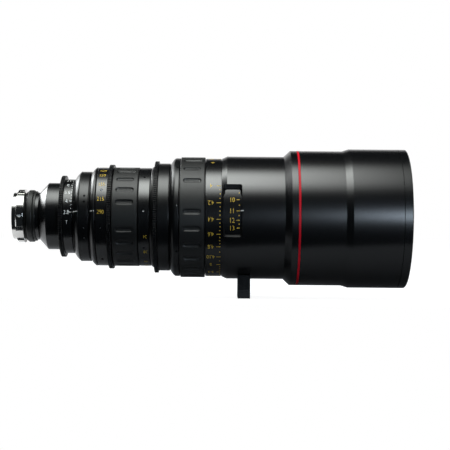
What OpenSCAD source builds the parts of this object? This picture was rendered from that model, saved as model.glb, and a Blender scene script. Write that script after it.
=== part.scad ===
// Cinema zoom lens with a four-lug camera mount, three toothed control rings and a deep sun shade.
// X is the optical axis, pointing from the mount to the front. The origin is the centre of the
// mount's seating face. Z is up, and the foot hangs below. Angles round the axis are measured
// from the near side (-Y), upwards.

/* [Camera mount] */
// Radius of the centring tube
tube_r = 27; // [26:0.5:27.5]
// Length of the centring tube behind the seat
tube_len = 4.7; // [3:0.1:6]
// Radius of the bore through the mount
mount_bore_r = 21.5; // [20:0.5:22.5]
// Radius of the flange hub between the lugs
hub_r = 29; // [28:0.25:30]
// Depth of the flange hub along the axis
hub_w = 8.5; // [7:0.25:9]
// Radius over the four lugs
lug_r = 30.8; // [30.5:0.1:32]
// Width of each lug across the radius
lug_w = 25; // [20:0.5:28]
// Width of the index notch in each lug
notch_w = 3.4; // [2:0.1:5]
// Length of the index notch along the axis
notch_len = 6; // [5.2:0.1:6.5]
// Number of lugs
lug_count = 4; // [3:1:4]
// Radius of a mount screw's shank
mount_screw_r = 1.25; // [1:0.05:1.4]
// Radius of a mount screw's head
mount_head_r = 2.1; // [1.8:0.05:2.3]
// Length of a mount screw
mount_screw_len = 16; // [14:0.5:18]
// Number of mount screws
mount_screw_count = 6; // [4:1:8]

/* [Rear end] */
// Length of the bare neck between the hub and the collar
neck_w = 0.5; // [0.5:0.25:2]
// Radius of the mount collar over its middle ridge
collar_r = 30.2; // [29.9:0.1:31]
// Radius of the ridges on either side of it
collar_edge_r = 28.9; // [28.2:0.1:29.4]
// Length of the mount collar
collar_w = 12.8; // [10:0.2:15]
// Length of its rear ridge
collar_rear_w = 3.1; // [2.4:0.1:4]
// Length of its front ridge
collar_front_w = 2.6; // [1.5:0.1:3.5]
// Depth of the groove behind the middle ridge
collar_groove_d = 1.1; // [0.5:0.1:1.6]
// Radius of the shoulder in front of the collar
shoulder_r = 27.4; // [26.8:0.1:29]
// Length of that shoulder
shoulder_w = 3.6; // [2.5:0.1:5]
// Length of the rear cone
rear_cone_w = 9.8; // [7:0.2:13]
// Radius of the rear ring
rear_ring_r = 38.65; // [38:0.05:40]
// Length of the rear ring
rear_ring_w = 15.5; // [12:0.1:18]

/* [Iris ring] */
// Teeth on the iris gear
iris_teeth = 116; // [112:1:118]
// Module of the three gears
gear_module = 0.8; // [0.78:0.01:0.82]
// Face width of the iris gear
iris_gear_w = 4.2; // [3.4:0.1:6]
// Radius of the stop scale
stop_ring_r = 42.9; // [42:0.1:43.5]
// Length of the stop scale
stop_ring_w = 11; // [9.5:0.1:12]
// Number of iris blades
blade_count = 9; // [7:1:9]
// Turn of the iris ring from wide open to closed
iris_turn = 96; // [60:1:100]
// Swing of one blade for the whole turn of the ring
blade_swing = 34; // [24:1:36]

/* [Centre housing] */
// Length of the plain step in front of the iris ring
centre_step_w = 1.7; // [0.8:0.1:2.5]
// Length of the cone behind the centre ring
centre_cone_w = 5.6; // [4:0.1:7]
// Radius of the centre ring
centre_ring_r = 52; // [51:0.1:53]
// Length of the centre ring
centre_ring_w = 10.9; // [9:0.1:13]
// Width of the groove in front of the centre ring
index_groove_w = 2.3; // [1.5:0.1:3.5]
// Depth of that groove
index_groove_d = 1.5; // [0.5:0.1:1.7]
// Length of the cone behind the index rim
index_cone_w = 3.8; // [2.5:0.1:5]
// Radius of the index rim
index_rim_r = 57; // [56:0.1:58]
// Length of the index rim
index_rim_w = 2.3; // [1.5:0.1:3]

/* [Zoom ring] */
// Radius of the zoom scale
zoom_scale_r = 57; // [56:0.1:58]
// Length of the zoom scale
zoom_scale_w = 12.7; // [10:0.1:15]
// Teeth on the zoom gear
zoom_teeth = 149; // [145:1:153]
// Face width of the zoom gear
zoom_gear_w = 4.6; // [4:0.1:6]
// Radius of the rubber zoom grip
zoom_grip_r = 57.3; // [56.5:0.1:58]
// Length of the zoom grip
zoom_grip_w = 29.1; // [26:0.1:32]
// Radius of the zoom end ring
zoom_end_r = 56.95; // [56:0.05:58]
// Length of the zoom end ring
zoom_end_w = 12.9; // [11:0.1:15]
// Turn of the zoom ring from long end to wide end
zoom_turn = 160; // [120:1:165]
// Travel of the variator for the whole turn
variator_travel = 62; // [50:1:63]
// Travel of the compensator for the whole turn
compensator_travel = 14; // [12:0.5:16]

/* [Focus ring] */
// Teeth on the focus gear
focus_teeth = 160; // [156:1:164]
// Face width of the focus gear
focus_gear_w = 4.1; // [3.4:0.1:6]
// Radius of the band in front of the focus gear
focus_band_r = 62.3; // [61.5:0.1:63]
// Length of that band
focus_band_w = 12.7; // [9:0.1:15]
// Length of the rounded rise in front of that band
focus_cone_w = 7.5; // [6:0.1:9]
// Radius of the raised band behind the grip
focus_rise_r = 68.55; // [67.5:0.05:69]
// Length of the raised band
focus_rise_w = 4.5; // [3.5:0.1:6]
// Radius of the rubber focus grip
focus_grip_r = 69.75; // [69:0.05:70.5]
// Length of the focus grip
focus_grip_w = 28; // [25:0.2:32]
// Radius of the distance scale
focus_scale_r = 68.3; // [67.5:0.05:69]
// Length of the distance scale
focus_scale_w = 17.9; // [15:0.1:20]
// Turn of the focus ring down from rest to its near stop
focus_down = 217; // [180:1:231]
// Turn of the focus ring up from rest to its far stop
focus_up = 110; // [80:1:115]
// Travel of the focus group for a whole turn
focus_pitch = 22; // [18:0.5:22]

/* [Grip pockets] */
// Places for pockets round each grip
pocket_places = 23; // [18:1:26]
// Width of a pocket
pocket_w = 6.2; // [3:0.2:7]
// Length of a pocket
pocket_len = 20.6; // [16:0.2:22]
// Depth of a pocket
pocket_d = 1.5; // [0.8:0.1:2]

/* [Main barrel] */
// Radius of the main barrel
barrel_r = 71.05; // [70.5:0.05:72]
// Wall of the main barrel over the distance drum
barrel_wall = 3.75; // [2.5:0.05:4]
// Length of the main barrel from the distance scale to the flare
barrel_w = 71.3; // [66:0.2:78]
// Length of the ramp at the rear of the main barrel
barrel_ramp_w = 6; // [4:0.2:8]
// Height of the window round the barrel
window_h = 59.4; // [40:0.5:60]
// Length of the window along the axis
window_len = 21.3; // [16:0.1:22]
// Radius of the window's corners
window_corner_r = 2.4; // [1:0.1:4]
// Distance from the rear of the barrel to the window
window_set = 1.8; // [1.5:0.1:3]
// Angle of the middle of the window
window_angle = 6.75; // [0:0.25:12]

/* [Support foot] */
// Thickness of the foot along the axis
foot_t = 14.3; // [12.5:0.1:18]
// Width of the foot at its sole
foot_w = 66; // [56:1:76]
// Height of the axis over the foot's sole
foot_h = 92.4; // [90:0.2:100]
// Distance from the rear of the barrel to the foot
foot_set = 19; // [17.5:0.5:24]
// Radius of the tapped hole in the sole
foot_hole_r = 4; // [3:0.1:4.5]
// Depth of the tapped hole in the sole
foot_hole_d = 14; // [10:0.5:16]
// Spacing of the two foot screws
foot_screw_gap = 40; // [34:1:44]
// Radius of a foot screw's shank
foot_screw_r = 2.5; // [2:0.1:3]
// Radius of a foot screw's head
foot_head_r = 4.2; // [3.8:0.1:4.6]
// Length of a foot screw's head
foot_head_len = 5; // [4:0.1:6]
// Spacing of the two pin holes in each side of the foot
foot_pin_gap = 4.5; // [3.5:0.1:6]
// Radius of a pin hole in the foot
foot_pin_r = 1.1; // [0.8:0.05:1.3]

/* [Front] */
// Length of the flare
flare_w = 7.4; // [6:0.2:12]
// Radius of the front housing
front_r = 78.05; // [77:0.05:79]
// Length of the front housing in front of the flare
front_w = 60; // [50:0.2:64]
// Distance from the flare to the accent ring
accent_set = 7.3; // [4:0.1:12]
// Width of the accent ring
accent_w = 2.3; // [1.5:0.1:6]
// Depth of the accent ring's groove
accent_d = 0.9; // [0.5:0.1:1.5]
// Length of the ramp up to the shade
shade_ramp_w = 7.9; // [6:0.1:13]
// How far the sun shade stands out from the front housing
shade_step = 2.45; // [1.5:0.05:3.5]
// Length of the sun shade in front of its ramp
shade_w = 56.4; // [52:0.2:62]
// Length of the front rim
rim_w = 9.6; // [7:0.2:12]
// Wall of the front rim at its mouth
rim_wall = 3.7; // [2.5:0.1:3.9]
// Wall of the front cell round the glass
front_cell_wall = 4.4; // [3.4:0.1:7]
// Depth of the front glass behind the rim
glass_set = 25; // [22:0.5:30]

/* [Fits] */
// Radial clearance of a turning or sliding fit
run_gap = 0.05; // [0.03:0.01:0.08]
// Radial clearance of a fixed fit
fit_gap = 0.04; // [0.02:0.01:0.06]
// Axial clearance beside a turning ring
side_gap = 0.5; // [0.3:0.1:0.7]
// Clearance of a pin in its slot
slot_gap = 0.2; // [0.15:0.05:0.25]
// Clearance between parts that pass each other
pass_gap = 0.3; // [0.3:0.05:0.4]

/* [Hidden] */
fine = 180;
small = 40;
over = 1;
chamfer = 0.5;
tooth_share = 2.25;

// Stations along the axis, from the mount's seat to the front
x_neck = hub_w;
x_collar = x_neck + neck_w;
x_shoulder = x_collar + collar_w;
x_rear_cone = x_shoulder + shoulder_w;
x_rear_ring = x_rear_cone + rear_cone_w;
x_rear_end = x_rear_ring + rear_ring_w;
x_iris_gear = x_rear_end + side_gap;
x_stop_ring = x_iris_gear + iris_gear_w;
x_iris_end = x_stop_ring + stop_ring_w;
x_centre = x_iris_end + side_gap;
x_centre_cone = x_centre + centre_step_w;
x_centre_ring = x_centre_cone + centre_cone_w;
x_index_groove = x_centre_ring + centre_ring_w;
x_index_cone = x_index_groove + index_groove_w;
x_index_rim = x_index_cone + index_cone_w;
x_centre_end = x_index_rim + index_rim_w;
x_zoom = x_centre_end + side_gap;
x_zoom_gear = x_zoom + zoom_scale_w;
ring_seam = 0.75;
x_zoom_grip = x_zoom_gear + zoom_gear_w + ring_seam;
x_zoom_end = x_zoom_grip + zoom_grip_w + ring_seam;
x_zoom_stop = x_zoom_end + zoom_end_w;
x_focus_sleeve = x_zoom_stop + side_gap;
sleeve_flange_w = 3.4;
x_focus_gear = x_focus_sleeve + sleeve_flange_w + side_gap;
focus_groove_w = 0.3;
x_focus_band = x_focus_gear + focus_gear_w + focus_groove_w;
x_focus_cone = x_focus_band + focus_band_w;
x_focus_rise = x_focus_cone + focus_cone_w;
x_focus_grip = x_focus_rise + focus_rise_w + ring_seam;
x_focus_scale = x_focus_grip + focus_grip_w + ring_seam;
x_focus_end = x_focus_scale + focus_scale_w;
x_barrel = x_focus_end + side_gap;
x_barrel_end = x_barrel + barrel_w;
x_front = x_barrel_end + flare_w;
x_accent = x_front + accent_set;
x_shade = x_front + front_w;
x_shade_tube = x_shade + shade_ramp_w;
x_rim = x_shade_tube + shade_w;
x_rim_end = x_rim + rim_w;
x_glass = x_rim_end - glass_set;

// Radii of the shells and rings, from the outside in
neck_step = 1;
neck_r = tube_r - neck_step;
collar_round = 1.6;
lug_step = 0.3;
lug_edge = 1.2;
notch_d = 1.2;
barrel_in_r = barrel_r - barrel_wall;
drum_r = barrel_in_r - pass_gap - run_gap;
drum_wall = 3.6;
focus_seat_r = 65;
focus_hub_r = drum_r - drum_wall - fit_gap;
focus_root_r = 60;
sleeve_r = 57;
sleeve_wall = 3.5;
sleeve_in_r = sleeve_r - sleeve_wall;
sleeve_rear_r = 53.5;
sleeve_flange_r = 58.2;
sleeve_step = 1;
zoom_seat_r = 53.6;
zoom_bore_r = 50.55;
centre_sleeve_r = zoom_bore_r - run_gap;
centre_step_r = 43.5;
focus_foot_step = 1.5;
rise_steps = 8;
cam_r = 46.4;
cam_wall = 3;
cam_in_r = cam_r - cam_wall;
cam_bore_r = cam_r + pass_gap;
iris_bore_r = 37.05;
iris_sleeve_r = iris_bore_r - run_gap;
iris_seat_r = 41;
iris_room_r = 34;

// Iris: blades on fixed pivots, their tail pins in the slots of the rotor
aperture_r = 16;
blade_outer_r = 23.2;
blade_pivot_r = 24.5;
blade_pin_r = 0.6;
blade_boss_r = 1.5;
tail_len = 12;
tail_angle = 60;
tail_w = 2.6;
blade_span_angle = 100;
blade_t = 0.25;
blade_pitch = 0.4;
base_plate_t = 1.5;
rotor_t = 2.4;
iris_key_r = 1.2;
iris_key_seat = 2;
x_base_plate = x_stop_ring + base_plate_t / 4;
x_blades = x_base_plate + base_plate_t + pass_gap;
x_rotor = x_blades + blade_pitch * blade_count + pass_gap;
rotor_r = iris_room_r - pass_gap;
iris_key_angle = 154;
slot_steps = 24;

// Zoom: cells on three rods inside the cam tube
rod_count = 3;
rod_r = 2.5;
rod_ring_r = 38;
rod_angle = 30;
follower_r = 2.5;
follower_angle = 90;
plate_t = 3;
rod_plate_set = 5.15;
x_rod_plate = x_centre_end - rod_plate_set;
x_cam = x_rod_plate + plate_t + pass_gap;
cam_len = 120.7;
x_cam_end = x_cam + cam_len;
x_front_plate = x_cam_end + pass_gap;
zoom_key_set = 6.5;
x_zoom_key = x_cam + zoom_key_set;
zoom_key_angle = 190;
key_r = 2;
cell_r = cam_in_r - 2 * pass_gap;
compensator_set = 11.7;
x_compensator = x_cam + compensator_set;
compensator_len = 14;
variator_set = 46.7;
x_variator = x_cam + variator_set;
variator_len = 18;
cell_bore_r = 33;
cell_lip = 2;
cell_lip_w = 1.5;
glass_inset = 1;
glass_gap = 0.1;
compensator_back_r = 280;
compensator_front_r = 160;
variator_back_dish = 5;
variator_back_r = 180;
variator_front_dish = 4;
variator_front_r = 220;
cam_steps = 40;
cam_land_w = 12;

// Focus: cell driven by three pins through straight slots in the sleeve
focus_cell_len = 22;
focus_cell_set = 8.4;
focus_cell_r = sleeve_in_r - pass_gap;
x_focus_cell = x_front_plate + plate_t + focus_cell_set;
focus_pin_set = 4.5;
x_focus_pin = x_focus_cell + focus_pin_set;
focus_pin_r = 2;
focus_pin_rise = 2.4;
focus_pin_top_r = sleeve_r + focus_pin_rise;
focus_pin_foot_r = 50.5;
focus_back = focus_up / 360 * focus_pitch;
focus_fore = focus_down / 360 * focus_pitch;
focus_cell_bore_r = 48;
focus_hub_len = 16;
focus_back_curve_r = 260;
focus_front_curve_r = 240;
drum_face_w = 1.5;
drum_len = 24.8;
web_w = 5;
x_drum_end = x_focus_end + drum_len;
x_web = x_drum_end + 2 * side_gap;
sleeve_len = 112;
x_sleeve_end = x_focus_sleeve + sleeve_len;

// Front group
front_wall = 4.6;
shade_r = front_r + shade_step;
front_in_r = front_r - front_wall;
front_cell_r = front_in_r - fit_gap;
front_glass_r = front_cell_r - front_cell_wall;
rim_mouth_r = shade_r - rim_wall;
mouth_step = 0.5;
accent_gap = 0.3;
front_cell_len = 70;
x_front_cell = x_glass - front_cell_len;
spigot_len = 12;
spigot_wall = 3.6;
front_curve_r = 220;
second_curve_r = 160;
third_curve_r = 350;
fourth_curve_r = 200;
rear_curve_r = 900;
front_lens_t = 7;
second_lens_t = 30;
third_lens_t = 18;
lens_space = 3;
retainer_lip = 2.2;

// Rear groups
relay_r = 24;
relay_len = 18;
relay_glass_t = 7;
relay_set = 2;
relay_back_r = 70;
relay_front_r = 90;
x_relay = x_rotor + rotor_t + relay_set;
small_lip = 1;
rear_cell_len = 36;
rear_glass_r = 18;
rear_glass_t = 7;
rear_lip_set = 13.3;
rear_lip_w = 4.9;
rear_back_r = 90;
rear_front_r = 110;
rear_retainer_w = 4;
rear_retainer_lip = 1.6;
x_rear_cell = -tube_len + chamfer;
x_rear_lip = x_rear_cell + rear_lip_set;

// Grips and foot
zoom_bare_angle = 0.8;
focus_bare_angle = 20.5;
foot_top_w = 58;
foot_top_h = 66;
foot_lip_h = 10;
foot_pin_drop = 76.5;
foot_pin_d = 6;
foot_screw_set = 1;

// Screw holes in the zoom scale and the end ring
set_hole_r = 1.5;
end_hole_r = 1.2;
set_hole_d = 1.6;
zoom_hole_angle = 31.4;
zoom_hole_count = 3;
end_hole_angle = 6.7;
end_hole_count = 8;

// Names of the separate pieces
blade_names = [for (i = [1:blade_count]) str("iris_blade_", i)];

// Points are [radius, station along the axis]
module lathe(points) rotate([0, 90, 0]) rotate_extrude($fn = fine) polygon(points);

module pipe(x0, x1, outer, inner)
    lathe([[inner, x0], [outer, x0], [outer, x1], [inner, x1]]);

module band(x0, x1, outer, inner, edge = chamfer)
    lathe([[inner, x0], [outer - edge, x0], [outer, x0 + edge],
           [outer, x1 - edge], [outer - edge, x1], [inner, x1]]);

module rod_x(x0, x1, radius) translate([x0, 0, 0]) rotate([0, 90, 0])
    cylinder(h = x1 - x0, r = radius, $fn = small);

// A flat shape drawn in the Y-Z plane, given thickness along the axis
module plate(x0, thick) translate([x0, 0, 0]) rotate([90, 0, 90]) linear_extrude(thick) children();

// Turns what is drawn on the near side up to an angle
module at(angle) rotate([-angle, 0, 0]) children();

module round_copies(count, start = 0) for (i = [0:count - 1]) at(start + i * 360 / count) children();

module radial_pin(x, inner, outer, radius)
    translate([x, -inner, 0]) rotate([90, 0, 0]) cylinder(h = outer - inner, r = radius, $fn = small);

// A slot that runs round the axis at one station
module arc_slot(x, width, inner, outer, from, to) {
    rotate([0, 90, 0]) rotate([0, 0, 270 - to]) rotate_extrude(angle = to - from, $fn = fine)
        translate([inner, x - width / 2]) square([outer - inner, width]);
    for (angle = [from, to]) at(angle) radial_pin(x, inner, outer, width / 2 + run_gap);
}

// A slot with rounded ends that climbs along the axis as it runs round, at a steady rate
module climbing_slot(x, travel, from, sweep, width, inner, outer) {
    per_degree = (inner + outer) / 2 * PI / 180;
    half = width / 2 / cos(atan(travel / (per_degree * sweep)));
    end_angles = [8, 30, 50, 70];
    // Each station of the path is [angle, place along the axis, share of the full width]
    path = concat(
        [for (a = end_angles) [from - width / 2 * cos(a) / per_degree, x, sin(a)]],
        [for (i = [0:cam_steps]) [from + sweep * i / cam_steps, x + travel * i / cam_steps, 1]],
        [for (i = [3:-1:0]) let (a = end_angles[i])
            [from + sweep + width / 2 * cos(a) / per_degree, x + travel, sin(a)]]);
    last = len(path) - 1;
    function corner(p, r, side) = [p[1] + side * half * p[2], -r * cos(p[0]), r * sin(p[0])];
    points = [for (p = path) each
        [corner(p, inner, -1), corner(p, inner, 1), corner(p, outer, 1), corner(p, outer, -1)]];
    faces = concat([[3, 2, 1, 0]],
        [for (i = [0:last - 1], k = [0:3]) each
            let (a = 4 * i + k, b = 4 * i + (k + 1) % 4) [[a, b, b + 4], [a, b + 4, a + 4]]],
        [[for (k = [0:3]) 4 * last + k]]);
    polyhedron(points, faces);
}

// One straight-sided tooth per step, on the outside of a ring
module gear_ring(x, width, teeth, inner) {
    tip = (teeth + 2) * gear_module / 2;
    root = tip - tooth_share * gear_module;
    step = 360 / teeth;
    shares = [[-0.36, 0], [-0.14, 1], [0.14, 1], [0.36, 0]];
    plate(x, width) difference() {
        polygon([for (i = [0:teeth - 1], s = shares)
            let (r = root + s[1] * (tip - root), a = (i + s[0]) * step) [r * cos(a), r * sin(a)]]);
        circle(inner, $fn = fine);
    }
}

// Pill-shaped pockets round a grip, with one place left bare
module grip_pockets(x, radius, bare_angle) {
    step = 360 / pocket_places;
    for (i = [1:pocket_places - 1]) at(bare_angle + i * step)
        translate([x, -radius - over, 0]) rotate([-90, 0, 0]) linear_extrude(pocket_d + over)
            pill(pocket_len, pocket_w);
}

module pill(length, width) {
    square([length - width, width], center = true);
    for (side = [-1, 1]) translate([side * (length - width) / 2, 0]) circle(width / 2, $fn = small);
}

// Blind round holes for the screws of a ring
module screw_holes(x, radius, hole_r, count, start) round_copies(count, start)
    radial_pin(x, radius - set_hole_d, radius + over, hole_r);

// Profile points of a band with rounded edges
function rounded(x0, x1, radius, edge) = concat(
    [for (a = [0:30:90]) [radius - edge * (1 - sin(a)), x0 + edge * (1 - cos(a))]],
    [for (a = [90:-30:0]) [radius - edge * (1 - sin(a)), x1 - edge * (1 - cos(a))]]);

// How far a spherical face falls back at a radius
function sag(curve, r) = curve == 0 ? 0 : sign(curve) * (abs(curve) - sqrt(curve * curve - r * r));

// A glass disc between two spherical faces; a positive curve bulges forwards
module lens(x_back, x_front, radius, back_curve, front_curve) {
    steps = 14;
    lathe(concat(
        [for (i = [0:steps]) let (r = radius * i / steps) [r, x_back - sag(back_curve, r)]],
        [for (i = [steps:-1:0]) let (r = radius * i / steps) [r, x_front - sag(front_curve, r)]]));
}

// Camera mount
module mount_flange() color("silver") difference() {
    union() {
        pipe(-tube_len, 0, tube_r, mount_bore_r);
        pipe(0, hub_w, hub_r, mount_bore_r);
        intersection() {
            lathe([[mount_bore_r, 0], [lug_r - lug_edge, 0], [lug_r, lug_edge],
                   [lug_r, hub_w - lug_step], [mount_bore_r, hub_w - lug_step]]);
            round_copies(lug_count) translate([0, -lug_r, -lug_w / 2]) cube([hub_w, lug_r, lug_w]);
        }
    }
    round_copies(lug_count) translate([(hub_w + lug_edge - lug_step) / 2, -lug_r + notch_d, 0])
        rotate([90, 0, 0]) linear_extrude(notch_d + over) pill(notch_len, notch_w);
    mount_screw_places() {
        rod_x(-tube_len - over, hub_w + over, mount_screw_r + fit_gap);
        rod_x(-tube_len - over, -tube_len + mount_head_r, mount_head_r + fit_gap);
    }
}

module mount_screw_places() round_copies(mount_screw_count, 180 / mount_screw_count)
    translate([0, -(tube_r + mount_bore_r) / 2, 0]) children();

module mount_screws() color("gray") mount_screw_places() difference() {
    union() {
        rod_x(-tube_len + chamfer, -tube_len + mount_head_r, mount_head_r);
        rod_x(-tube_len + mount_head_r, -tube_len + mount_screw_len, mount_screw_r);
    }
    translate([-tube_len, -mount_screw_r / 4, -mount_head_r])
        cube([2 * chamfer, mount_screw_r / 2, 2 * mount_head_r]);
}

// Collar of three smooth ridges
module mount_collar() color([0.08, 0.08, 0.08]) {
    x_middle = x_collar + collar_rear_w;
    x_low = x_shoulder - collar_front_w;
    lathe(concat(
        [[neck_r + fit_gap, x_collar], [neck_r + chamfer, x_collar], [collar_edge_r, x_middle - chamfer],
         [collar_edge_r - collar_groove_d, x_middle]],
        rounded(x_middle, x_low, collar_r, collar_round), rounded(x_low, x_shoulder, collar_edge_r, chamfer),
        [[neck_r + fit_gap, x_shoulder]]));
}

// Rear shell, from the mount to the iris ring
module rear_housing() color([0.07, 0.07, 0.07]) difference() {
    lathe([[mount_bore_r, x_neck], [neck_r, x_neck], [neck_r, x_shoulder],
           [shoulder_r, x_shoulder], [shoulder_r, x_rear_cone], [rear_ring_r - chamfer, x_rear_ring],
           [rear_ring_r, x_rear_ring + chamfer], [rear_ring_r, x_rear_end - chamfer],
           [rear_ring_r - chamfer, x_rear_end], [iris_room_r, x_rear_end],
           [iris_room_r - over, x_rear_ring], [mount_bore_r, x_rear_cone]]);
    mount_screw_places()
        rod_x(x_neck - over, -tube_len + mount_screw_len + chamfer, mount_screw_r + fit_gap);
}

module rear_cell() color([0.1, 0.1, 0.1])
    lathe([[rear_glass_r + fit_gap, x_rear_cell], [mount_bore_r - fit_gap, x_rear_cell],
           [mount_bore_r - fit_gap, x_rear_cell + rear_cell_len],
           [rear_glass_r + fit_gap, x_rear_cell + rear_cell_len],
           [rear_glass_r + fit_gap, x_rear_lip + rear_lip_w],
           [rear_glass_r - small_lip, x_rear_lip + rear_lip_w],
           [rear_glass_r - small_lip, x_rear_lip], [rear_glass_r + fit_gap, x_rear_lip]]);

module rear_elements() color([0.4, 0.5, 0.6]) {
    x_front = x_rear_lip + rear_lip_w;
    lens(x_rear_lip - rear_glass_t, x_rear_lip, rear_glass_r, -rear_back_r, 0);
    lens(x_front, x_front + rear_glass_t, rear_glass_r, 0, rear_front_r);
}

// Rests on the rim of the rear glass
module rear_retaining_ring() color([0.1, 0.1, 0.1]) {
    lip_r = rear_glass_r - rear_retainer_lip;
    x_glass_rim = x_rear_lip - rear_glass_t + sag(rear_back_r, lip_r) - glass_gap;
    pipe(x_glass_rim - rear_retainer_w, x_glass_rim, rear_glass_r, lip_r);
}

// Iris ring and the iris inside it
module stop_scale_ring() color([0.08, 0.08, 0.08]) difference() {
    lathe([[iris_bore_r, x_iris_gear], [iris_seat_r, x_iris_gear], [iris_seat_r, x_stop_ring],
           [stop_ring_r - chamfer, x_stop_ring], [stop_ring_r, x_stop_ring + chamfer],
           [stop_ring_r, x_iris_end - chamfer], [stop_ring_r - chamfer, x_iris_end],
           [iris_bore_r, x_iris_end]]);
    at(iris_key_angle)
        radial_pin(x_rotor + rotor_t / 2, iris_bore_r - over, stop_ring_r + over, iris_key_r + fit_gap);
}

module iris_gear() color([0.12, 0.12, 0.12])
    gear_ring(x_iris_gear, iris_gear_w, iris_teeth, iris_seat_r + fit_gap);

module iris_key() color("gray") at(iris_key_angle)
    radial_pin(x_rotor + rotor_t / 2, rotor_r - iris_key_seat, stop_ring_r - chamfer, iris_key_r);

module iris_base_plate() color([0.15, 0.15, 0.15]) plate(x_base_plate, base_plate_t) difference() {
    circle(iris_room_r - fit_gap, $fn = fine);
    circle(aperture_r, $fn = fine);
    for (i = [0:blade_count - 1]) rotate(i * 360 / blade_count)
        translate([blade_pivot_r, 0]) circle(blade_pin_r + run_gap, $fn = small);
}

function turned(p, a) = [p[0] * cos(a) - p[1] * sin(a), p[0] * sin(a) + p[1] * cos(a)];

// Place of a blade's tail pin in the plane of the rotor, after a share of the whole turn
function tail_pin(share) = let (a = tail_angle + blade_swing * share)
    turned([blade_pivot_r + tail_len * cos(a), tail_len * sin(a)], -iris_turn * share);

module rotor_slot() {
    width = 2 * blade_pin_r + slot_gap;
    last = slot_steps;
    path = [for (i = [0:last]) tail_pin(i / last)];
    function edge(i, angle) = let (step = path[min(i + 1, last)] - path[max(i - 1, 0)])
        path[i] + width / 2 * turned(step / norm(step), angle);
    polygon(concat(
        [for (i = [0:last]) edge(i, 90)], [for (a = [60:-30:-60]) edge(last, a)],
        [for (i = [last:-1:0]) edge(i, -90)], [for (a = [-120:-30:-240]) edge(0, a)]));
}

module iris_rotor() color("darkkhaki") difference() {
    plate(x_rotor, rotor_t) difference() {
        circle(rotor_r, $fn = fine);
        circle(aperture_r + small_lip, $fn = fine);
        for (i = [0:blade_count - 1]) rotate(i * 360 / blade_count) rotor_slot();
    }
    at(iris_key_angle)
        radial_pin(x_rotor + rotor_t / 2, rotor_r - iris_key_seat, rotor_r + over, iris_key_r + fit_gap);
}

module blade_outline() {
    steps = 20;
    polygon(concat(
        [for (i = [0:steps]) let (a = blade_span_angle * i / steps) blade_outer_r * [cos(a), sin(a)]],
        [for (i = [steps:-1:0]) let (a = blade_span_angle * i / steps) aperture_r * [cos(a), sin(a)]]));
    translate([blade_pivot_r, 0]) {
        circle(blade_boss_r, $fn = small);
        rotate(tail_angle) {
            translate([0, -tail_w / 2]) square([tail_len, tail_w]);
            translate([tail_len, 0]) circle(tail_w / 2, $fn = small);
        }
        translate([-blade_pivot_r + blade_outer_r - blade_boss_r, -blade_boss_r / 2])
            square([blade_pivot_r - blade_outer_r + blade_boss_r, blade_boss_r]);
    }
}

module iris_blade(i) color([0.2, 0.2, 0.22]) rotate([i * 360 / blade_count, 0, 0]) {
    x = x_blades + i * blade_pitch;
    plate(x, blade_t) blade_outline();
    translate([0, blade_pivot_r, 0]) rod_x(x_base_plate + fit_gap, x + blade_t / 2, blade_pin_r);
    translate([0, blade_pivot_r + tail_len * cos(tail_angle), tail_len * sin(tail_angle)])
        rod_x(x + blade_t / 2, x_rotor + rotor_t - fit_gap, blade_pin_r);
}

module relay_cell() color([0.12, 0.12, 0.12]) {
    outer = iris_room_r - fit_gap;
    inner = relay_r + fit_gap;
    middle = x_relay + relay_len / 2;
    lathe([[inner, x_relay], [outer, x_relay], [outer, x_relay + relay_len], [inner, x_relay + relay_len],
           [inner, middle + small_lip], [relay_r - small_lip, middle + small_lip],
           [relay_r - small_lip, middle - small_lip], [inner, middle - small_lip]]);
}

module relay_elements() color([0.4, 0.5, 0.6]) {
    middle = x_relay + relay_len / 2;
    lens(middle - small_lip - relay_glass_t, middle - small_lip, relay_r, -relay_back_r, 0);
    lens(middle + small_lip, middle + small_lip + relay_glass_t, relay_r, 0, relay_front_r);
}

// Middle shell: carries the iris ring behind it and the zoom ring over its sleeve
module centre_housing() color([0.07, 0.07, 0.07]) difference() {
    lathe([[iris_room_r, x_rear_end], [iris_sleeve_r, x_rear_end], [iris_sleeve_r, x_centre],
           [centre_step_r, x_centre], [centre_step_r, x_centre_cone],
           [centre_ring_r - chamfer, x_centre_ring], [centre_ring_r, x_centre_ring + chamfer],
           [centre_ring_r, x_index_groove], [centre_ring_r - index_groove_d, x_index_groove + chamfer],
           [centre_ring_r - index_groove_d, x_index_cone], [index_rim_r, x_index_rim],
           [index_rim_r, x_centre_end - chamfer], [index_rim_r - chamfer, x_centre_end],
           [centre_sleeve_r, x_centre_end], [centre_sleeve_r, x_focus_sleeve], [cam_bore_r, x_focus_sleeve],
           [cam_bore_r, x_rod_plate], [iris_room_r, x_rod_plate]]);
    arc_slot(x_rotor + rotor_t / 2, 2 * (iris_key_r + slot_gap), iris_room_r - over, iris_sleeve_r + over,
             iris_key_angle - iris_turn, iris_key_angle);
    arc_slot(x_zoom_key, 2 * (key_r + slot_gap), cam_bore_r - over, centre_sleeve_r + over,
             zoom_key_angle - zoom_turn, zoom_key_angle);
}

// Three rods held between two plates, for the zoom cells to slide on
module guide_rods() color("silver") round_copies(rod_count, rod_angle)
    translate([0, -rod_ring_r, 0]) rod_x(x_rod_plate + fit_gap, x_front_plate + plate_t, rod_r);

module rod_holes(clear) round_copies(rod_count, rod_angle)
    translate([0, -rod_ring_r, 0]) rod_x(x_rod_plate - over, x_front_plate + plate_t + over, rod_r + clear);

module rod_plates() color([0.12, 0.12, 0.12]) difference() {
    union() {
        pipe(x_rod_plate, x_rod_plate + plate_t, cam_bore_r - fit_gap, cell_bore_r);
        pipe(x_front_plate, x_front_plate + plate_t, sleeve_in_r - fit_gap, cell_bore_r);
    }
    rod_holes(fit_gap);
}

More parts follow.
